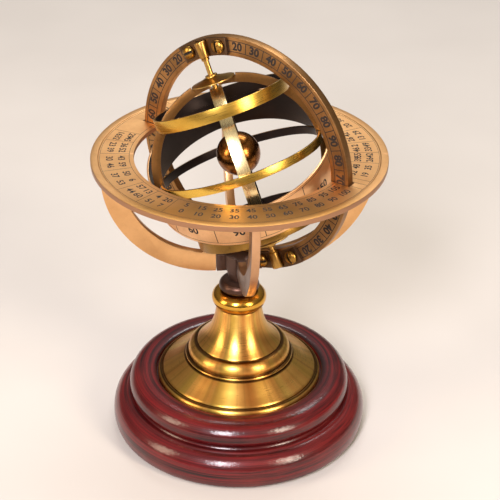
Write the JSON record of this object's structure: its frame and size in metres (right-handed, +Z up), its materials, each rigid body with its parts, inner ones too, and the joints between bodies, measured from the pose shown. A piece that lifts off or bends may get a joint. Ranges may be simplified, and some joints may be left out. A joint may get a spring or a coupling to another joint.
{
  "type": "armillary sphere",
  "caption": "Brass armillary sphere: ring cage round a small ball, hung in a meridian ring that stands in a flat horizon ring on arms, brass foot and turned wooden base.",
  "frame": {"origin": "middle of the underside of the base, on the surface it stands on", "axes": "+Z up along the axis of the base; the front, with the front arm, looks along -Y"},
  "size_m": [0.14, 0.14, 0.2076],
  "materials": {
    "wood": "glossy lacquered mahogany red",
    "felt": "matt felt",
    "steel": "plain zinc-grey fixings",
    "foot_brass": "satin turned brass",
    "bead_brass": "polished brass",
    "dark_bronze": "dark patinated, glossy",
    "antique_brass": "satin antique brass, pinkish tan",
    "meridian_brass": "aged brass with dark engraving",
    "colure_brass": "aged brown brass",
    "band_brass": "polished yellow brass, darkened inside",
    "zodiac_brass": "satin outside with engraved lines, nearly black inside",
    "ball_bronze": "glossy copper-bronze"
  },
  "bodies": {
    "stand": {"felt_pad": "felt", "wood_base": "wood", "tie_rod": "steel", "tie_washer": "steel", "tie_nut": "steel", "brass_foot": "foot_brass", "collar_bead": "bead_brass", "stem_cup": "dark_bronze", "cradle_hub": "dark_bronze", "cradle_arm_right": "antique_brass", "cradle_arm_rear": "antique_brass", "cradle_arm_left": "antique_brass", "cradle_arm_front": "antique_brass", "horizon_ring": "antique_brass"},
    "meridian": {"meridian_ring": "meridian_brass", "pivot_strap_top": "dark_bronze", "pivot_block_top": "band_brass", "pivot_screw_top_left": "band_brass", "pivot_screw_top_right": "band_brass", "pivot_strap_bottom": "dark_bronze", "pivot_block_bottom": "band_brass", "pivot_screw_bottom_left": "band_brass", "pivot_screw_bottom_right": "band_brass"},
    "cage": {"polar_axle": "band_brass", "polar_cap_top": "band_brass", "polar_cap_bottom": "band_brass", "band_north": "band_brass", "band_equator": "band_brass", "band_south": "band_brass", "colure_flat_east": "colure_brass", "colure_flat_west": "colure_brass", "colure_strip": "band_brass", "zodiac_band": "zodiac_brass", "centre_ball": "ball_bronze"}
  },
  "joints": [
    {"name": "meridian_tilt", "type": "hinge", "parent": "stand", "child": "meridian", "pos_m": [0, 0, 0.1492], "axis": [-0.5736, -0.8192, 0], "range_deg": [-1, 47]},
    {"name": "cage_spin", "type": "hinge", "parent": "meridian", "child": "cage", "pos_m": [0, 0, 0.1492], "axis": [-0.3266, 0.2287, 0.9171], "continuous": true}
  ]
}
